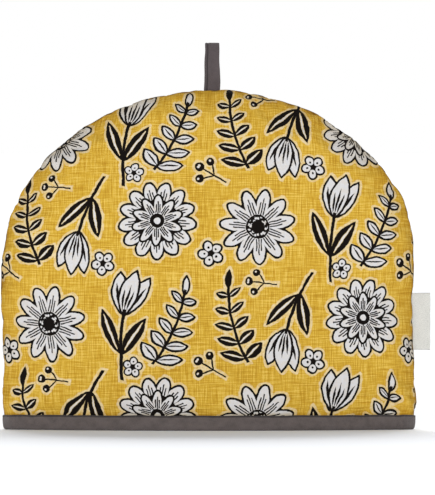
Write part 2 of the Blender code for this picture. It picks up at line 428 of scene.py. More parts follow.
def tulip(paint, vector, tall, lean):
    """A cup of petals on a stem with two dark leaves: (pale filling, ink line)."""
    x, y = paint.parts(vector)
    bent = x - y * y * lean
    folded = paint.joined(abs(bent), y)
    middle = leaf(paint, folded, (0, 15), 19, 7.6)
    side = leaf(paint, folded, (7.4, 14), 17, 6.4, -17)
    blade = leaf(paint, folded, (9.8, -19), 19, 5.6, -28)
    vein = leaf(paint, folded, (9.8, -19), 14, 0.75, -28)
    stem = (abs(bent) - 1.4) & (abs(y + tall / 2 - 1) - tall / 2)
    streak = leaf(paint, folded, (0, 11), 11, 1.0) | leaf(paint, folded, (2.9, 9), 9, 0.95, -8)
    streak = streak | (leaf(paint, folded, (8.6, 12), 10, 1.1, -19) & (0.6 - middle))
    line = ((abs(side) - LINE) & (0.2 - middle)) | (abs(middle) - LINE) | streak
    return middle | side | vein, line | (blade & (0.35 - vein)) | stem


def sprig(paint, vector, tall, pitch, lean, solid):
    """Pairs of leaves on a bent stem, smaller towards the tip: (pale filling, ink line)."""
    x, y = paint.parts(vector)
    bent = x - y * y * lean
    share = paint.ramp(y, -tall / 2, tall / 2, smooth=False)
    grown = 1.25 - share * 0.6
    last = (tall / pitch - 1) / 2
    pair = (y / pitch).math("ROUND").math("MINIMUM", last).math("MAXIMUM", -last)
    at = paint.joined(abs(bent) / grown, (y - pair * pitch) / grown)
    blade = leaf(paint, at, (7.6, 0.3), 8.8, 3.7, -64) * grown
    vein = leaf(paint, at, (6.6, 0.1), 6.6, 0.45, -64)
    stem = (abs(bent) - 1.2) & (abs(y) - tall / 2 - 2)
    tip = leaf(paint, paint.joined(bent, y), (0, tall / 2 + 5), 8, 3.0)
    leaves = blade | tip
    if solid:
        return vein, (leaves & (0.2 - vein)) | stem
    return leaves, (abs(leaves) - LINE) | (vein - 0.15) | stem


def blossom(paint, vector, radius):
    """A small five-petalled flower on a dark ground: (pale filling, ink line)."""
    out, px, py = rounds(paint, vector, 5)
    petal = ellipse(paint, paint.joined(px, py), (radius * 0.58, 0), (radius * 0.42, radius * 0.37))
    dark = (out - radius * 0.72) & (0.2 - petal)
    seed = dot(paint, paint.joined(px, py), (radius * 0.5, 0), radius * 0.09)
    return petal, (abs(petal) - LINE) | dark | (out - radius * 0.22) | seed


def berries(paint, vector, size):
    """Dark berries with a glint on a forked stalk: (pale filling, ink line)."""
    x, y = paint.parts(vector)
    folded = paint.joined(abs(x), y)
    fruit = dot(paint, folded, (0, 12), size) | dot(paint, folded, (8.4, 6.4), size * 0.9)
    glint = dot(paint, folded, (0.9, 12.9), size * 0.24) | dot(paint, folded, (9.2, 7.2), size * 0.22)
    fork = leaf(paint, folded, (4.2, 1.2), 7.5, 0.75, -50)
    stalk = (abs(x) - 0.7) & (abs(y + 2) - 12)
    return glint, (fruit & (0.1 - glint)) | fork | stalk


# The motifs of one repeat: how each is drawn, where, how turned, how large, and its own settings
Motif = namedtuple("Motif", "draw x y degrees size settings")
MOTIFS = (
    Motif(daisy, 40, 120, 12, 1.0, (11, 31, 9)),
    Motif(rosette, 130, 45, -20, 1.0, (13, 32, 6)),
    Motif(tulip, 104, 131, -12, 1.0, (57, 0.003)),
    Motif(tulip, 64, 33, 166, 0.95, (57, -0.003)),
    Motif(sprig, 144, 116, -24, 1.0, (63, 12.6, -0.004, False)),
    Motif(sprig, 20, 40, 14, 1.0, (63, 12.6, 0.004, True)),
    Motif(blossom, 110, 85, 10, 0.75, (11,)),
    Motif(blossom, 86, 170, -25, 0.9, (11,)),
    Motif(blossom, 2, 98, 40, 0.95, (11,)),
    Motif(berries, 174, 84, 60, 1.0, (3.8,)),
    Motif(berries, 44, 74, 84, 0.9, (3.8,)),
)

# In mm: how far the lines wander, where the halo starts and is full, and how soft the edges are
WOBBLE = 2.8
HALO = (2.3, 1.5)
PETAL_EDGE = 0.14
INK_EDGE = 0.16


def repeated(paint, x, y, motif, tile):
    """The place seen from the nearest copy of a motif, whose columns are dropped by half a repeat."""
    wide, high = tile
    across = paint.math("MULTIPLY_ADD", x, 1 / wide, -motif.x / wide)
    column = across.math("ROUND")
    local_x = (across - column) * wide
    dropped = paint.math("MULTIPLY_ADD", column, -high / 2, y)
    local_y = (dropped - motif.y).math("WRAP", high / 2, -high / 2)
    return paint.moved(paint.joined(local_x, local_y), (0, 0), motif.degrees, (motif.size, motif.size))


def printed_pattern(paint, flat, tile, shift):
    """The flower print on the flat cloth: shares of (halo, petal, ink)."""
    wobble = paint.noise(flat, 90, 3, 0.6, output="Color")
    in_mm = paint.scaled(flat, 1 / MM, 1 / MM, (*shift, 0))
    x, y = paint.parts(paint.scaled(wobble, WOBBLE, WOBBLE, in_mm))
    pale, line = None, None
    for motif in MOTIFS:
        here = repeated(paint, x, y, motif, tile)
        fill, ink = (part * motif.size for part in motif.draw(paint, here, *motif.settings))
        pale = fill if pale is None else pale | fill
        line = ink if line is None else line | ink
    edge = (paint.noise(flat, 700, 2) - 0.5) * 0.5
    spill = (paint.noise(flat, 160, 2) - 0.5) * 3.6
    halo = paint.ramp((pale | line) + spill, *HALO)
    petal = paint.ramp(pale + edge, PETAL_EDGE, -PETAL_EDGE)
    return halo, petal, paint.ramp(line + edge, INK_EDGE, -INK_EDGE)


# How thin a thread of the ground is for its length
THREAD_THIN = 0.046
# The colours of the painted shade that darkens the cloth beside the seam, and deep in it
BESIDE_SEAM = (0.72, 0.62, 0.42)
IN_SEAM = (0.34, 0.26, 0.18)


def slub_cloth(paint, flat, colours):
    """The linen-look ground: thin uneven threads both ways, as (colour, height, weave)."""
    weft = paint.noise(paint.moved(flat, size=(1, THREAD_THIN)), 50, 2, 0.6)
    warp = paint.noise(paint.moved(flat, size=(THREAD_THIN, 1)), 52, 2, 0.6)
    cloudy = paint.noise(flat, 30, 3)
    fine = paint.noise(flat, 1100, 1)
    thread = weft + warp + (cloudy - 0.5) * 0.16 + (fine - 0.5) * 0.2
    colour = paint.mix(paint.ramp(thread, 1.0, 1.2), colours.ground, colours.slub_light)
    colour = paint.mix(paint.ramp(thread, 0.98, 0.80), colour, colours.slub_dark)
    ribs = {"Vector": flat, "Scale": 300, "Distortion": 1.2, "Detail": 1}
    threads, picks = (
        Num(paint, paint.node("TexWave", ribs, bands_direction=way).outputs["Fac"]) for way in "XY"
    )
    woven = threads * picks
    return colour, woven * 0.5 + (weft + warp) * 1.2, woven


def printed_cloth(name, slot, shift):
    """The panels' outer cloth, with the print moved by `shift` mm."""
    sizes, colours = bpy.context.scene.cosy_sizes, bpy.context.scene.cosy_colours
    paint = Paint(name, slot)
    flat = paint.uv("flat")
    ground, height, woven = slub_cloth(paint, flat, colours)
    tile = (sizes.tile_width / MM, sizes.tile_height / MM)
    halo, petal, ink = printed_pattern(paint, flat, tile, shift)
    patchy = paint.ramp(paint.noise(flat, 260, 3, 0.7), 0.35, 0.62)
    cream = paint.mix(halo * (0.42 + patchy * 0.5), ground, colours.halo)
    filled = paint.mix(petal * (0.82 + patchy * 0.18), cream, colours.petal)
    inked = paint.mix(ink, filled, colours.ink)
    shaded = paint.mix(0.16 - woven * 0.16, inked, (0, 0, 0))
    # Painted shade: the cloth is darker and more orange beside the seam, where it turns away from the
    # light, and just above the binding, where it folds in
    seam_shade_amount = Num(paint, paint.node("Attribute", attribute_name="painted_seam_shade").outputs["Fac"])
    beside_seam_shade = paint.mix(paint.ramp(seam_shade_amount, 0.02, 0.85, smooth=False), (1, 1, 1), BESIDE_SEAM)
    darker = paint.mix(paint.ramp(seam_shade_amount, 0.55, 0.9), beside_seam_shade, IN_SEAM)
    shaded = paint.mix(1.0, shaded, darker, "MULTIPLY")
    return paint.surface(shaded, 0.9, 0.1, height, 0.22 * MM, 0.8)


def plain_cloth(name, slot, colour):
    """The plain inner cloth."""
    paint = Paint(name, slot)
    place = paint.node("TexCoord").outputs["Object"]
    uneven = paint.noise(place, 60, 4, 0.6)
    weave = paint.noise(place, 1400, 2, 0.6)
    shaded = paint.mix(uneven * 0.35, colour, (0.30, 0.27, 0.22))
    return paint.surface(shaded, 0.92, 0.2, weave, 0.15 * MM, 0.6)


# A tape's darkest and lightest threads as shares of its colour, and the colour of its dark line: on the
# loop its stitches with painted shade in their groove, on the binding a painted shadow
TAPE_DARK = 0.55
TAPE_LIGHT = (1.38, 1.35, 1.34)
STITCH_AND_SHADE_COLOUR = (0.02, 0.017, 0.018)


def woven_tape(name, slot, colour, thread, contrast, cloudy, stitch_and_shade_line=None):
    """A plain woven tape, whose UV map `along` holds its width and its length in metres.

    `thread` is the distance between two threads, `contrast` how dark the weave is, and `cloudy`
    how uneven. `stitch_and_shade_line` is how far from the edge a dark line lies, and half its width:
    stitches with painted shade, or a painted shadow, and the strip before it is painted shade too.
    """
    paint = Paint(name, slot)
    along = paint.uv("along")
    x, y = paint.parts(along)
    warp = (x * (2 * math.pi / thread)).math("SINE")
    weft = (y * (2 * math.pi / thread)).math("SINE")
    woven = warp * weft
    uneven = paint.noise(along, 130, 4, 0.65)
    fuzz = paint.noise(paint.moved(along, size=(1, 0.2)), 600, 3, 0.6)
    shade = (woven * 0.5 + 0.5) * contrast + (uneven - 0.5) * cloudy + (fuzz - 0.5) * 0.35
    dark = tuple(TAPE_DARK * part for part in colour)
    light = tuple(min(share * part, 1) for share, part in zip(TAPE_LIGHT, colour))
    cloth = paint.mix(paint.ramp(shade, -0.2, 0.5), dark, light)
    if stitch_and_shade_line is not None:
        place, half = stitch_and_shade_line
        # The dark line: on the loop the stitches with painted shade in their groove, on the binding a
        # painted shadow line
        line = paint.ramp(abs(x - place) + (uneven - 0.5) * 0.6 * half, half, 0.4 * half)
        cloth = paint.mix(line * 0.75, cloth, STITCH_AND_SHADE_COLOUR)
        # Painted shade: the strip between the tape's edge and the line is a little darker
        cloth = paint.mix(paint.ramp(x, place + 0.2 * MM, place) * 0.2, cloth, STITCH_AND_SHADE_COLOUR)
    paint.shader.inputs["Sheen Weight"].default_value = 0.15
    return paint.surface(cloth, 0.86, 0.25, woven + fuzz * 0.8, 0.12 * MM, 0.8)


def add_object(name, data):
    made = bpy.data.objects.new(name, data)
    bpy.context.scene.collection.objects.link(made)
    return made


def add_mesh(name, bm):
    """An object of this mesh, added to the scene. It uses the bmesh up."""
    mesh = bpy.data.meshes.new(name)
    bm.to_mesh(mesh)
    bm.free()
    return add_object(name, mesh)


def new_piece(name, bm, node, material):
    """An object of this mesh, with its finish, that stands for a solid of the frame."""
    piece = add_mesh(name, bm)
    piece.data.materials.append(material)
    piece.data.shade_smooth()
    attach(piece, "root")
    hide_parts(node)
    return piece


def grid(columns, rows):
    """A flat grid whose points lie at their own column and row."""
    bm = bmesh.new()
    bmesh.ops.create_grid(bm, x_segments=columns, y_segments=rows, size=0.5)
    bmesh.ops.translate(bm, verts=bm.verts, vec=(0.5, 0.5, 0))
    bmesh.ops.scale(bm, verts=bm.verts, vec=(columns, rows, 1))
    return bm


def slab(columns, rows):
    """The same grid in two layers, closed all round."""
    bm = grid(columns, rows)
    raised = bmesh.ops.extrude_face_region(bm, geom=bm.faces[:], use_keep_orig=True)["geom"]
    corners = [part for part in raised if isinstance(part, bmesh.types.BMVert)]
    bmesh.ops.translate(bm, verts=corners, vec=(0, 0, 1))
    return bm


def cells_of(bm):
    """Each point's column, row and layer."""
    bm.verts.index_update()
    return np.round([vert.co for vert in bm.verts]).astype(int)


def place_points(bm, points, merge=0):
    """Moves every point at once, merges those that meet if asked, and turns the faces outwards."""
    for vert, point in zip(bm.verts, points):
        vert.co = point
    if merge:
        bmesh.ops.remove_doubles(bm, verts=bm.verts, dist=merge)
    bmesh.ops.recalc_face_normals(bm, faces=bm.faces)
    if bm.calc_volume(signed=True) < 0:
        bmesh.ops.reverse_faces(bm, faces=bm.faces)


def put_map(bm, name, places):
    """A UV map that takes each corner's place from its point."""
    layer = bm.loops.layers.uv.new(name)
    for face in bm.faces:
        for loop in face.loops:
            loop[layer].uv = places[loop.vert.index]


# The panels' grid, the share of its rows on the straight sides, and how they crowd at the hem
PANEL_COLUMNS = 192
PANEL_ROWS = 150
LOWER_SHARE = 0.42
HEM_CROWD = 1.25

# The padding stands a little past the seam all the way, and more where the humps are along it
SEAM_FULLER = 0.4 * MM
Hump = namedtuple("Hump", "place reach amount")
SEAM_HUMPS = (
    Hump(254 * MM, 5 * MM, 0.9 * MM),
    Hump(289 * MM, 12 * MM, 1.9 * MM),
    Hump(361 * MM, 14 * MM, 1.7 * MM),
    Hump(478 * MM, 26 * MM, 1.8 * MM),
)

# Waves along the seam: how long, how high, and how far they reach over the face
WAVE_PITCH, WAVE_AMOUNT, WAVE_REACH = 34 * MM, 0.75 * MM, 16 * MM
# Stitches that pull the seam in, given in the same way
PULL_PITCH, PULL_AMOUNT, PULL_REACH = 17 * MM, 0.8 * MM, 7 * MM
# The loop's ends hold the seam still round this place
LOOP_HOLD_X, LOOP_HOLD_REACH = 2 * MM, 14 * MM
# Gathers lie this far behind the seam, and small folds this far above the binding
GATHER_PLACE, GATHER_REACH = 7 * MM, 8 * MM
FOLD_ABOVE, FOLD_REACH = 5 * MM, 7 * MM
# The depth and the pitch of the small folds, as shares of the gathers' own
FOLD_SHARE, FOLD_LONGER = 0.7, 1.6

# How far the painted shade darkens the cloth beside the seam, and how much and how far the painted
# shade of the fold above the binding reaches
SEAM_SHADE_REACH = 9 * MM
HEM_SHADE, HEM_SHADE_REACH = 0.7, 2 * MM


def panel_rows(row, rows):
    """(rise, low) of rows that go up the straight sides and then up the arch."""
    lower = round(rows * LOWER_SHARE)
    share = np.clip(row / lower, 0, 1) ** HEM_CROWD
    return np.maximum(row - lower, 0) / (rows - lower), HEM_EDGE + (ARCH_START - HEM_EDGE) * share


def wander(along, pitch, seed):
    """A soft uneven wave between -1 and 1, the same at each run."""
    turns = along / pitch * 2 * math.pi
    return (
        0.5 * np.sin(turns + seed)
        + 0.3 * np.sin(0.618 * turns + 2.1 * seed)
        + 0.2 * np.sin(1.73 * turns + 0.7 * seed)
    )


def seam_run(x, z):
    """How far along the outline a point lies, from the left end of the hem."""
    turn = np.arctan2(z - ARCH_START, x)
    arch = np.clip(math.pi - turn, 0, math.pi) * WIDTH / 2
    lower = np.where(x < 0, z - ARCH_START, WIDTH / 2 * math.pi + ARCH_START - z)
    return np.where(z < ARCH_START, lower, arch)


def seam_waves(run, x, depth, z):
    """How far the seam's waves, humps and pulled stitches move the outer cloth out."""
    free = 1 - bell(np.hypot(x - LOOP_HOLD_X, z - HEIGHT), LOOP_HOLD_REACH)
    humps = sum(hump.amount * bell(run - hump.place, hump.reach) for hump in SEAM_HUMPS)
    waves = wander(run, WAVE_PITCH, 1.3) * WAVE_AMOUNT * free + (SEAM_FULLER + humps)
    pulled = np.maximum(wander(run, PULL_PITCH, 0.6), 0) ** 2 * bell(depth, PULL_REACH)
    return waves * bell(depth, WAVE_REACH) - pulled * PULL_AMOUNT * free


def panel_points(face, cells, columns, rows, sizes, settled=0):
    """The panel's points, with the gathers of its seam and hem, and its settled cloth."""
    across = 2 * cells[:, 0] / columns - 1
    rise, low = panel_rows(cells[:, 1], rows)
    tucked = 1 - ease(low, *HEM_EASE)
    x, depth, z = face_points(face, across, rise, low, HEM_TUCK * tucked)
    run = seam_run(x, z)
    raised = (seam_waves(run, x, depth, z) - SEAM_DIP * bell(depth, SEAM_DIP_REACH)) * (1 - tucked)
    x, depth, z = face_points(face, across, rise, low, HEM_TUCK * tucked - raised)
    gathers = wander(run, sizes.pucker_pitch, 2.7 + face) * bell(depth - GATHER_PLACE, GATHER_REACH)
    depth = depth + sizes.pucker * gathers * ease(depth, 0, 6 * MM) * (1 - tucked)
    above_hem = bell(z - BINDING_HEIGHT - FOLD_ABOVE, FOLD_REACH) * ease(depth, 4 * MM, 20 * MM)
    folds = wander(x, FOLD_LONGER * sizes.pucker_pitch, 4.1 + face) * above_hem
    depth = depth + FOLD_SHARE * sizes.pucker * folds * (1 - tucked * 0.6)
    outer = np.stack([x, face * (CLEARANCE / 2 + depth), z], axis=1) + settled
    at_hem = HEM_TUCK + HEM_WALL
    under = at_hem + (WALL - at_hem) * (1 - tucked)
    x, depth, z = face_points(face, across, rise, low, under)
    inner = np.stack([x, face * (CLEARANCE / 2 + depth), z], axis=1)
    points = np.where(cells[:, 2:] == INNER, inner, outer)
    return points + (MIDDLE_X, 0, 0)


def settle(face, columns, rows, sizes):
    """Lets the panel's spare cloth find its own folds, and gives how far each point moved."""
    bm = slab(columns, rows)
    cells = cells_of(bm)
    start = panel_points(face, cells, columns, rows, sizes)
    place_points(bm, start)
    cloth_piece = add_mesh("settling", bm)
    _, low = panel_rows(cells[:, 1], rows)
    from_side = np.minimum(cells[:, 0], columns - cells[:, 0])
    held = (cells[:, 2] == INNER) | (from_side <= 1) | (cells[:, 1] >= rows - 1)
    held = held | (low < BINDING_HEIGHT + 1 * MM)
    group = cloth_piece.vertex_groups.new(name="held")
    group.add(np.flatnonzero(held).tolist(), 1, "REPLACE")
    cloth = cloth_piece.modifiers.new("cloth", "CLOTH")
    settings = cloth.settings
    settings.vertex_group_mass = "held"
    settings.quality = 5
    settings.mass = 0.2
    settings.tension_stiffness = 12
    settings.compression_stiffness = 12
    settings.shear_stiffness = 4
    settings.bending_stiffness = 0.15
    settings.shrink_min = -sizes.growth
    settings.use_pressure = True
    settings.uniform_pressure_force = 2.5
    settings.effector_weights.gravity = 0
    cloth.collision_settings.use_collision = False
    scene = bpy.context.scene
    scene.frame_start, scene.frame_end = 1, sizes.sim_frames
    cloth.point_cache.frame_start, cloth.point_cache.frame_end = 1, sizes.sim_frames
    for moment in range(1, sizes.sim_frames + 1):
        scene.frame_set(moment)
    evaluated = cloth_piece.evaluated_get(bpy.context.evaluated_depsgraph_get())
    settled = evaluated.to_mesh()
    ends = np.array([vert.co for vert in settled.vertices])
    evaluated.to_mesh_clear()
    bpy.data.meshes.remove(cloth_piece.data, do_unlink=True)
    scene.frame_set(1)
    move = np.zeros((rows + 1, columns + 1, 3))
    outer = cells[:, 2] == OUTER
    move[cells[outer, 1], cells[outer, 0]] = (ends - start)[outer]
    far = np.linalg.norm(move, axis=2, keepdims=True)
    return move * np.minimum(1, sizes.most_move / np.maximum(far, 1e-9))


def between(move, columns, rows, cells):
    """The settled move at each cell of a finer grid."""
    x = cells[:, 0] / columns * (move.shape[1] - 1)
    y = cells[:, 1] / rows * (move.shape[0] - 1)
    left = np.minimum(x.astype(int), move.shape[1] - 2)
    below = np.minimum(y.astype(int), move.shape[0] - 2)
    x, y = (x - left)[:, None], (y - below)[:, None]
    low = move[below, left] * (1 - x) + move[below, left + 1] * x
    high = move[below + 1, left] * (1 - x) + move[below + 1, left + 1] * x
    return low * (1 - y) + high * y


# The size and the corner of the outer and of the inner cloth on the map for baked colours
OUTER_PATCH = ((0.985, 0.78), (0.0075, 0.21))
INNER_PATCH = ((0.20, 0.17), (0.0075, 0.015))
# The strips for the rims: the first one's corner, their length and width, and the step between two
RIM_CORNER = (0.24, 0.02)
RIM_LONG, RIM_WIDE, RIM_STEP = 0.74, 0.03, 0.045


def bake_places(bm, cells, columns, rows, flat):
    """A map without overlaps: the outer cloth large, the inner cloth small, the rims in strips."""
    layer = bm.loops.layers.uv.new("OFBake")
    low, high = flat.min(axis=0), flat.max(axis=0)
    even = (flat - low) / (high - low)
    large, small = (even * size + corner for size, corner in (OUTER_PATCH, INNER_PATCH))
    for face in bm.faces:
        corners = [loop.vert.index for loop in face.loops]
        found = cells[corners]
        if (found[:, 2] == found[0, 2]).all():
            places = (large if found[0, 2] == OUTER else small)[corners]
        else:
            rims = [(found[:, 1] == 0).all(), (found[:, 1] == rows).all(), (found[:, 0] == 0).all()]
            rim = rims.index(True) if True in rims else 3
            run = found[:, 0] / columns if rim < 2 else found[:, 1] / rows
            up = RIM_STEP * rim + RIM_WIDE * found[:, 2]
            places = np.stack([RIM_LONG * run, up], axis=1) + RIM_CORNER
        for loop, place in zip(face.loops, places):
            loop[layer].uv = place


def build_panel(name, face, node, material, lining):
    """One padded panel: its printed cloth, its wadding's shape and its plain inner face."""
    sizes = bpy.context.scene.cosy_sizes
    bm = slab(PANEL_COLUMNS, PANEL_ROWS)
    cells = cells_of(bm)
    settled = 0
    move = settle(face, PANEL_COLUMNS // 2, PANEL_ROWS // 2, sizes)
    settled = between(move, PANEL_COLUMNS, PANEL_ROWS, cells)
    across = 2 * cells[:, 0] / PANEL_COLUMNS - 1
    u, v = flat_places(across, *panel_rows(cells[:, 1], PANEL_ROWS))
    flat = np.stack([-face * u, v], axis=1)
    bake_places(bm, cells, PANEL_COLUMNS, PANEL_ROWS, flat)
    put_map(bm, "flat", flat)
    for panel_face in bm.faces:
        wholly_inside = all(cells[vert.index, 2] == INNER for vert in panel_face.verts)
        panel_face.material_index = int(wholly_inside)
    points = panel_points(face, cells, PANEL_COLUMNS, PANEL_ROWS, sizes, settled)
    # Painted shade: how much each point is darkened, beside the seam and in the fold just above the
    # binding
    shade = bm.verts.layers.float.new("painted_seam_shade")
    seam_shade_amount = np.exp(-np.abs(points[:, 1]) / SEAM_SHADE_REACH)
    at_hem = HEM_SHADE * bell(points[:, 2] - BINDING_HEIGHT, HEM_SHADE_REACH)
    for vert, near in zip(bm.verts, np.maximum(seam_shade_amount, at_hem).tolist()):
        vert[shade] = near
    place_points(bm, points)
    piece = new_piece(name, bm, node, material)
    piece.data.materials.append(lining)
    return piece


# Once round the folded tape: its outer side, its base, its inner side and the slot for the panel.
# Each point is in mm, in from the plain outer cloth and up from the ground
BINDING_SECTION = (
    (1.85, 12.30), (1.35, 12.42), (0.92, 12.25), (0.74, 11.80), (0.78, 11.30), (0.72, 10.60),
    (0.56, 9.40), (0.46, 7.60), (0.44, 5.60), (0.50, 3.80), (0.66, 2.30), (0.98, 1.10),
    (1.50, 0.35), (2.30, 0.00), (4.20, 0.00), (6.10, 0.00), (6.90, 0.35), (7.40, 1.10),
    (7.68, 2.40), (7.76, 5.00), (7.76, 9.00), (7.70, 11.60), (7.45, 12.20), (7.05, 12.40),
    (6.60, 12.25), (6.50, 11.00), (6.50, 6.00), (6.45, 2.00), (6.00, 1.25), (4.20, 1.20),
    (2.40, 1.25), (1.95, 2.00), (1.90, 6.00), (1.90, 11.00),
)
BINDING_STATIONS = 440
# How far from the tape's first edge its dark crease lies, and half the crease's width. The crease is a
# painted shadow where the panel's cloth tucks into the binding
BINDING_SHADOW_LINE = (1.5 * MM, 1.3 * MM)
# Its long and short dents, the unevenness of its sewn and low edges, and how far the sewn one drops
LONG_DENT, SHORT_DENT = 0.22 * MM, 0.10 * MM
SEWN_WAVE, LOW_WAVE, SEWN_DROP = 0.28 * MM, 0.4 * MM, 1.1 * MM


def build_binding(material):
    """The tape folded round the hem, with soft dents and an uneven sewn edge."""
    section = np.array(BINDING_SECTION) * MM
    corners = len(section)
    bm = grid(BINDING_STATIONS, corners)
    cells = cells_of(bm)
    half = BINDING_STATIONS // 2
    under, height = section[cells[:, 1] % corners].T
    front = cells[:, 0] < half
    turn = np.where(front, cells[:, 0], BINDING_STATIONS - cells[:, 0])
    face = np.where(front, FRONT, BACK)
    across = 2 * turn / half - 1
    # The back's waves start elsewhere than the front's
    run = np.where(front, 0, 1.0) + across * WIDTH / 2
    outside = ease(under, 3 * MM, 0.9 * MM)
    inside = ease(under, 5.5 * MM, 7 * MM)
    top = ease(height, 8 * MM, 12 * MM)
    body = ease(height, 0, 3 * MM)
    dent = wander(run, 23 * MM, 0.4) * LONG_DENT + wander(run, 7 * MM, 5.2) * SHORT_DENT * (0.4 + top)
    dent = dent * np.minimum(1, np.abs(np.abs(across) - 1) * 20)
    moved_under = under + dent * (outside - inside) * (0.35 + 0.65 * body)
    sewn_edge = wander(run, 29 * MM, 3.3) * SEWN_WAVE - np.abs(across) ** 8 * SEWN_DROP
    moved_height = height + sewn_edge * ease(height, 6 * MM, 12 * MM)
    low_edge = (1 - body) * ease(height, 0, 0.3 * MM) * outside
    moved_height = moved_height + (wander(run, 31 * MM, 1.1) + 1) * LOW_WAVE * low_edge
    points = np.zeros((len(cells), 3))
    for side in (FRONT, BACK):
        here = face == side
        turned = across[here]
        x, depth, z = face_points(side, turned, 0 * turned, moved_height[here], moved_under[here])
        y = np.where(np.abs(turned) > 1 - 1e-6, 0, side * (CLEARANCE / 2 + depth))
        points[here] = np.stack([x + MIDDLE_X, y, z], axis=1)
    drop = np.concatenate([[0], np.cumsum(np.hypot(*np.diff(section, axis=0).T))])
    along = np.stack([np.append(drop, drop[-1] + 1 * MM)[cells[:, 1]], run + 0.5 * (1 - front)], axis=1)
    put_map(bm, "along", along)
    place_points(bm, points, merge=0.004 * MM)
    piece = new_piece("bound_hem", bm, "hem_binding", material)
    return piece


LOOP_WIDTH = 12.6 * MM
LOOP_TAPE = 1.6 * MM
LOOP_HALF_GAP = 4.2 * MM
LOOP_OFF_CENTRE = 2.6 * MM
# The share of the loop's height at which its legs lie furthest apart
LOOP_WIDEST = 0.55
# Steps from one end to the fold, and the shares of them that end the foot and the straight leg
LOOP_STEPS = 40
LOOP_FOOT = 0.12
LOOP_LEG = 0.56
CAUGHT_IN_SEAM = 4 * MM
# How far from the loop's edge its stitches lie, and half the width of their groove
EDGE_STITCH = 2.4 * MM
GROOVE = 0.45 * MM


def loop_path(step):
    """(y, z) arrays of the middle of the tape's thickness, from an end in the seam to the fold."""
    seam = SEAM_TOP - SEAM_DIP
    fold = LOOP_HIGH.z - LOOP_TAPE / 2
    widest = seam + LOOP_WIDEST * (fold - seam)
    closed = (CLEARANCE + LOOP_TAPE) / 2
    opened = LOOP_HALF_GAP + LOOP_TAPE / 2
    foot_end = LOOP_STEPS * LOOP_FOOT
    leg_end = LOOP_STEPS * LOOP_LEG
    share = np.clip((step - foot_end) / (leg_end - foot_end), 0, 1)
    turn = np.clip((step - leg_end) / (LOOP_STEPS - leg_end), 0, 1) * math.pi / 2
    foot = np.minimum(step / foot_end - 1, 0) * CAUGHT_IN_SEAM
    leg_y = closed + (opened - closed) * ease(share, 0, 1)
    leg_z = seam + foot + (widest - seam) * share
    y = np.where(step < leg_end, leg_y, opened * np.cos(turn))
    z = np.where(step < leg_end, leg_z, widest + (fold - widest) * np.sin(turn))
    return y, z


def build_loop(material):
    """The hanging loop: one folded tape with a line of edge stitching."""
    steps, edges = 2 * LOOP_STEPS, 20
    bm = slab(steps, edges)
    cells = cells_of(bm)
    step = cells[:, 0].astype(float)
    side = np.sign(step - LOOP_STEPS)

    def middle(at):
        y, z = loop_path(np.minimum(at, steps - at))
        return np.where(at > LOOP_STEPS, y, -y), z

    y, z = middle(step)
    ahead_y, ahead_z = middle(np.minimum(step + 0.5, steps))
    behind_y, behind_z = middle(np.maximum(step - 0.5, 0))
    slope = np.stack([ahead_y - behind_y, ahead_z - behind_z], axis=1)
    slope = slope / np.linalg.norm(slope, axis=1, keepdims=True)
    from_left = 0.5 - 0.5 * np.cos(cells[:, 1] / edges * math.pi)
    place = (from_left - 0.5) * LOOP_WIDTH
    rounded = 1 - 0.45 * np.abs(place / (LOOP_WIDTH / 2)) ** 10
    groove = 0.42 * bell(place + LOOP_WIDTH / 2 - EDGE_STITCH, GROOVE)
    thick = LOOP_TAPE * (0.5 - cells[:, 2]) * (rounded - groove)
    shift = wander(step * MM, 17 * MM, 2.2) * 0.25 * MM
    taper = 1.06 - 0.13 * ease(z, HEIGHT, LOOP_HIGH.z)
    x = LOOP_OFF_CENTRE + place * (taper + 0.012 * wander(step * MM, 11 * MM, 0.3)) + shift
    swing = wander(place, 19 * MM, 1.0) * 0.18 * MM * side * ease(z, HEIGHT, HEIGHT + 10 * MM)
    points = np.stack([x + MIDDLE_X, y - slope[:, 1] * thick + swing, z + slope[:, 0] * thick], axis=1)
    length = 2 * (LOOP_HIGH.z - LOOP_LOW.z) + 4 * MM
    put_map(bm, "along", np.stack([from_left * LOOP_WIDTH, step / steps * length], axis=1))
    place_points(bm, points)
    piece = new_piece("sewn_loop", bm, "hanging_loop", material)
    return piece


LABEL_CURL = 1.5 * MM
LABEL_CLOTH = 0.42 * MM
# The radius of the label's fold, and the columns on either side of its middle that turn with it
LABEL_FOLD = 0.28 * MM
FOLD_COLUMNS = 6


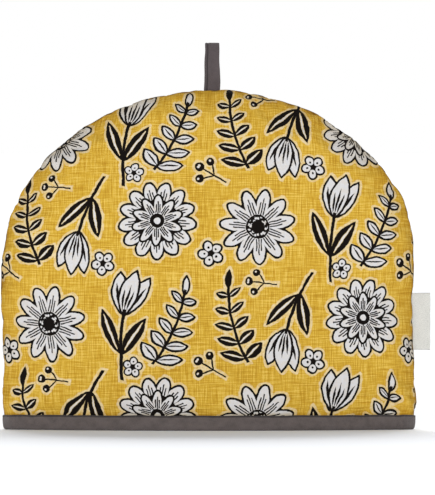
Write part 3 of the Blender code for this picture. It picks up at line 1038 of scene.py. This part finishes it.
def build_label(material):
    """The bare woven label: a short tape folded double, with its ends in the seam."""
    columns, rows = 60, 40
    bm = slab(columns, rows)
    cells = cells_of(bm)
    up = cells[:, 1] / rows
    inner, outer = LABEL_LOW.x - MIDDLE_X, LABEL_HIGH.x - MIDDLE_X
    seam = inner + CAUGHT_IN_SEAM
    turn_at = outer - inner - LABEL_FOLD - LABEL_CLOTH / 2
    from_fold = cells[:, 0] - columns / 2
    flat_run = np.maximum(np.abs(from_fold) - FOLD_COLUMNS, 0) / (columns / 2 - FOLD_COLUMNS)
    turn = np.clip(from_fold / FOLD_COLUMNS, -1, 1) * math.pi / 2
    offset = LABEL_CLOTH * (0.5 - cells[:, 2])
    x = inner + turn_at * (1 - flat_run) + (LABEL_FOLD + offset) * np.cos(turn)
    y = (LABEL_FOLD + offset) * np.sin(turn)
    free = np.maximum(x - seam, 0) / (outer - seam)
    curl = LABEL_CURL * free * free * (1 - 0.5 * up)
    curl = curl - 0.35 * MM * np.sin(up * math.pi * 1.6 + 0.6) * free
    tall = LABEL_HIGH.z - LABEL_LOW.z
    trim = 0.25 * MM * wander(up * tall, 23 * MM, 0.8) * free
    leaves_apart = 1 + 0.25 * wander(up * tall, 31 * MM, 2.0) * free * flat_run
    slipped = 0.12 * MM * np.sign(from_fold) * free * (2 * up - 1)
    z = LABEL_LOW.z + tall * up + slipped
    points = np.stack([x - np.abs(trim) + MIDDLE_X, curl + y * leaves_apart, z], axis=1)
    put_map(bm, "along", np.stack([x - inner, z - LABEL_LOW.z], axis=1))
    place_points(bm, points)
    piece = new_piece("sewn_label", bm, "side_label", material)
    return piece


# The camera's distance and angle above the ground, and the height and middle of what it shows
CAMERA_FAR = 12.0
CAMERA_ELEVATION = 0.8
SEEN_HIGH = 0.4085
AIM = (7.0 * MM, 0, 150 * MM)
SENSOR_HIGH = 36

# How much the white room lights the cloth, and the floor's half width and colour
SKY = 0.40
FLOOR_HALF = 30
FLOOR_WHITE = (0.865, 0.88, 0.906)

# Lights: the way to each from the cosy, how wide it looks in degrees, and how strong it is.
# A share of 1 lights white cloth that faces it as a white sky would
Light = namedtuple("Light", "name towards spread share")
KEY = Light("key", (-0.10, -1, 0.15), 24, 0.70)
BEHIND = Light("behind", (0.3, 1, 0.7), 50, 0.40)
FLOOR_ONLY = Light("floor_light", (0.0, 0.84, 0.545), 36, 0.92)


def soft_sun(light):
    """Even light from far away."""
    lamp = bpy.data.lights.new(light.name, "SUN")
    lamp.energy = light.share * math.pi
    lamp.angle = math.radians(light.spread)
    towards = Vector(light.towards)
    sun = add_object(light.name, lamp)
    sun.rotation_euler = (-towards).to_track_quat("-Z", "Y").to_euler()
    sun.location = Vector((MIDDLE_X, 0, 0.2)) + towards.normalized() * 3
    return sun


def build_floor():
    bm = bmesh.new()
    bmesh.ops.create_grid(bm, x_segments=1, y_segments=1, size=FLOOR_HALF)
    floor = add_mesh("floor", bm)
    white = bpy.data.materials.new("white_floor")
    white.use_nodes = True
    shader = white.node_tree.nodes["Principled BSDF"]
    shader.inputs["Base Color"].default_value = (*FLOOR_WHITE, 1)
    shader.inputs["Roughness"].default_value = 1.0
    shader.inputs["Specular IOR Level"].default_value = 0.0
    floor.data.materials.append(white)
    return floor


def build_sky():
    """White where the camera looks, and softer where it lights the cloth."""
    world = bpy.data.worlds.new("white_room")
    bpy.context.scene.world = world
    world.use_nodes = True
    tree = world.node_tree
    background = tree.nodes["Background"]
    path = tree.nodes.new("ShaderNodeLightPath")
    strength = tree.nodes.new("ShaderNodeMapRange")
    strength.inputs["To Min"].default_value = SKY
    strength.inputs["To Max"].default_value = 1.0
    tree.links.new(path.outputs["Is Camera Ray"], strength.inputs["Value"])
    tree.links.new(strength.outputs[0], background.inputs["Strength"])
    background.inputs["Color"].default_value = (1, 1, 1, 1)


def build_camera():
    """A camera far in front, whose picture is a known height at the cosy."""
    aim = Vector(AIM) + Vector((MIDDLE_X, 0, 0))
    tilt = math.radians(CAMERA_ELEVATION)
    place = aim + CAMERA_FAR * Vector((0, -math.cos(tilt), math.sin(tilt)))
    lens = bpy.data.cameras.new("camera")
    lens.sensor_fit = "VERTICAL"
    lens.sensor_height = SENSOR_HIGH
    lens.lens = SENSOR_HIGH * CAMERA_FAR / SEEN_HIGH
    lens.clip_end = 100
    camera = add_object("camera", lens)
    camera.location = place
    camera.rotation_euler = (aim - place).to_track_quat("-Z", "Y").to_euler()
    bpy.context.scene.camera = camera


def build_stage():
    """A white floor, a white room, soft lights and the camera."""
    floor = build_floor()
    build_sky()
    soft_sun(KEY)
    soft_sun(BEHIND)
    lit = bpy.data.collections.new("lit_floor")
    lit.objects.link(floor)
    soft_sun(FLOOR_ONLY).light_linking.receiver_collection = lit
    bpy.context.scene.view_settings.view_transform = "Standard"
    bpy.context.scene.view_settings.look = "None"
    build_camera()


class BuildPanels(bpy.types.Operator):
    """Make the front and the back panel of padded printed cloth"""

    bl_idname = "cosy.build_panels"
    bl_label = "Panels"

    def execute(self, context):
        lining = plain_cloth("inner_cloth", "printed_cloth", context.scene.cosy_colours.lining)
        front = printed_cloth("printed_front", "printed_cloth", (171, 31))
        back = printed_cloth("printed_back", "printed_cloth_back", (260, 77))
        build_panel("front_cover", FRONT, "front_panel", front, lining)
        build_panel("back_cover", BACK, "back_panel", back, lining)
        return {"FINISHED"}


class BuildBinding(bpy.types.Operator):
    """Fold the binding round the hem"""

    bl_idname = "cosy.build_binding"
    bl_label = "Hem binding"

    def execute(self, context):
        colour = context.scene.cosy_colours.binding
        build_binding(woven_tape(
            "binding_weave", "binding_tape", colour,
            thread=1 * MM, contrast=0.6, cloudy=1.0, stitch_and_shade_line=BINDING_SHADOW_LINE,
        ))
        return {"FINISHED"}


class BuildLoop(bpy.types.Operator):
    """Fold the tape of the hanging loop"""

    bl_idname = "cosy.build_loop"
    bl_label = "Hanging loop"

    def execute(self, context):
        colour = context.scene.cosy_colours.loop
        build_loop(woven_tape(
            "loop_weave", "loop_tape", colour,
            thread=0.8 * MM, contrast=0.4, cloudy=0.45, stitch_and_shade_line=(EDGE_STITCH, 0.7 * MM),
        ))
        return {"FINISHED"}


class BuildLabel(bpy.types.Operator):
    """Fold the bare side label"""

    bl_idname = "cosy.build_label"
    bl_label = "Side label"

    def execute(self, context):
        colour = context.scene.cosy_colours.label
        build_label(woven_tape(
            "label_weave", "label_tape", colour, thread=0.7 * MM, contrast=0.3, cloudy=0.12,
        ))
        return {"FINISHED"}


class BuildStage(bpy.types.Operator):
    """Set the white floor, the lights and the camera"""

    bl_idname = "cosy.build_stage"
    bl_label = "Studio"

    def execute(self, context):
        build_stage()
        return {"FINISHED"}


OPERATORS = (BuildPanels, BuildBinding, BuildLoop, BuildLabel, BuildStage)


class CosyPanel(bpy.types.Panel):
    """Sizes, colours and build steps of the tea cosy"""

    bl_idname = "VIEW3D_PT_cosy"
    bl_label = "Tea Cosy"
    bl_space_type = "VIEW_3D"
    bl_region_type = "UI"
    bl_category = "Cosy"

    def draw(self, context):
        for settings in (context.scene.cosy_sizes, context.scene.cosy_colours):
            column = self.layout.column(align=True)
            for name in settings.__annotations__:
                column.prop(settings, name)
        for operator in OPERATORS:
            self.layout.operator(operator.bl_idname)


CLASSES = (CosySizes, CosyColours, *OPERATORS, CosyPanel)


def register():
    for part in CLASSES:
        bpy.utils.register_class(part)
    bpy.types.Scene.cosy_sizes = PointerProperty(type=CosySizes)
    bpy.types.Scene.cosy_colours = PointerProperty(type=CosyColours)


def unregister():
    del bpy.types.Scene.cosy_colours
    del bpy.types.Scene.cosy_sizes
    for part in reversed(CLASSES):
        bpy.utils.unregister_class(part)


def main():
    """Builds every piece and the stage."""
    register()
    bpy.ops.cosy.build_panels()
    bpy.ops.cosy.build_binding()
    bpy.ops.cosy.build_loop()
    bpy.ops.cosy.build_label()
    bpy.ops.cosy.build_stage()


if __name__ == "__main__":
    main()
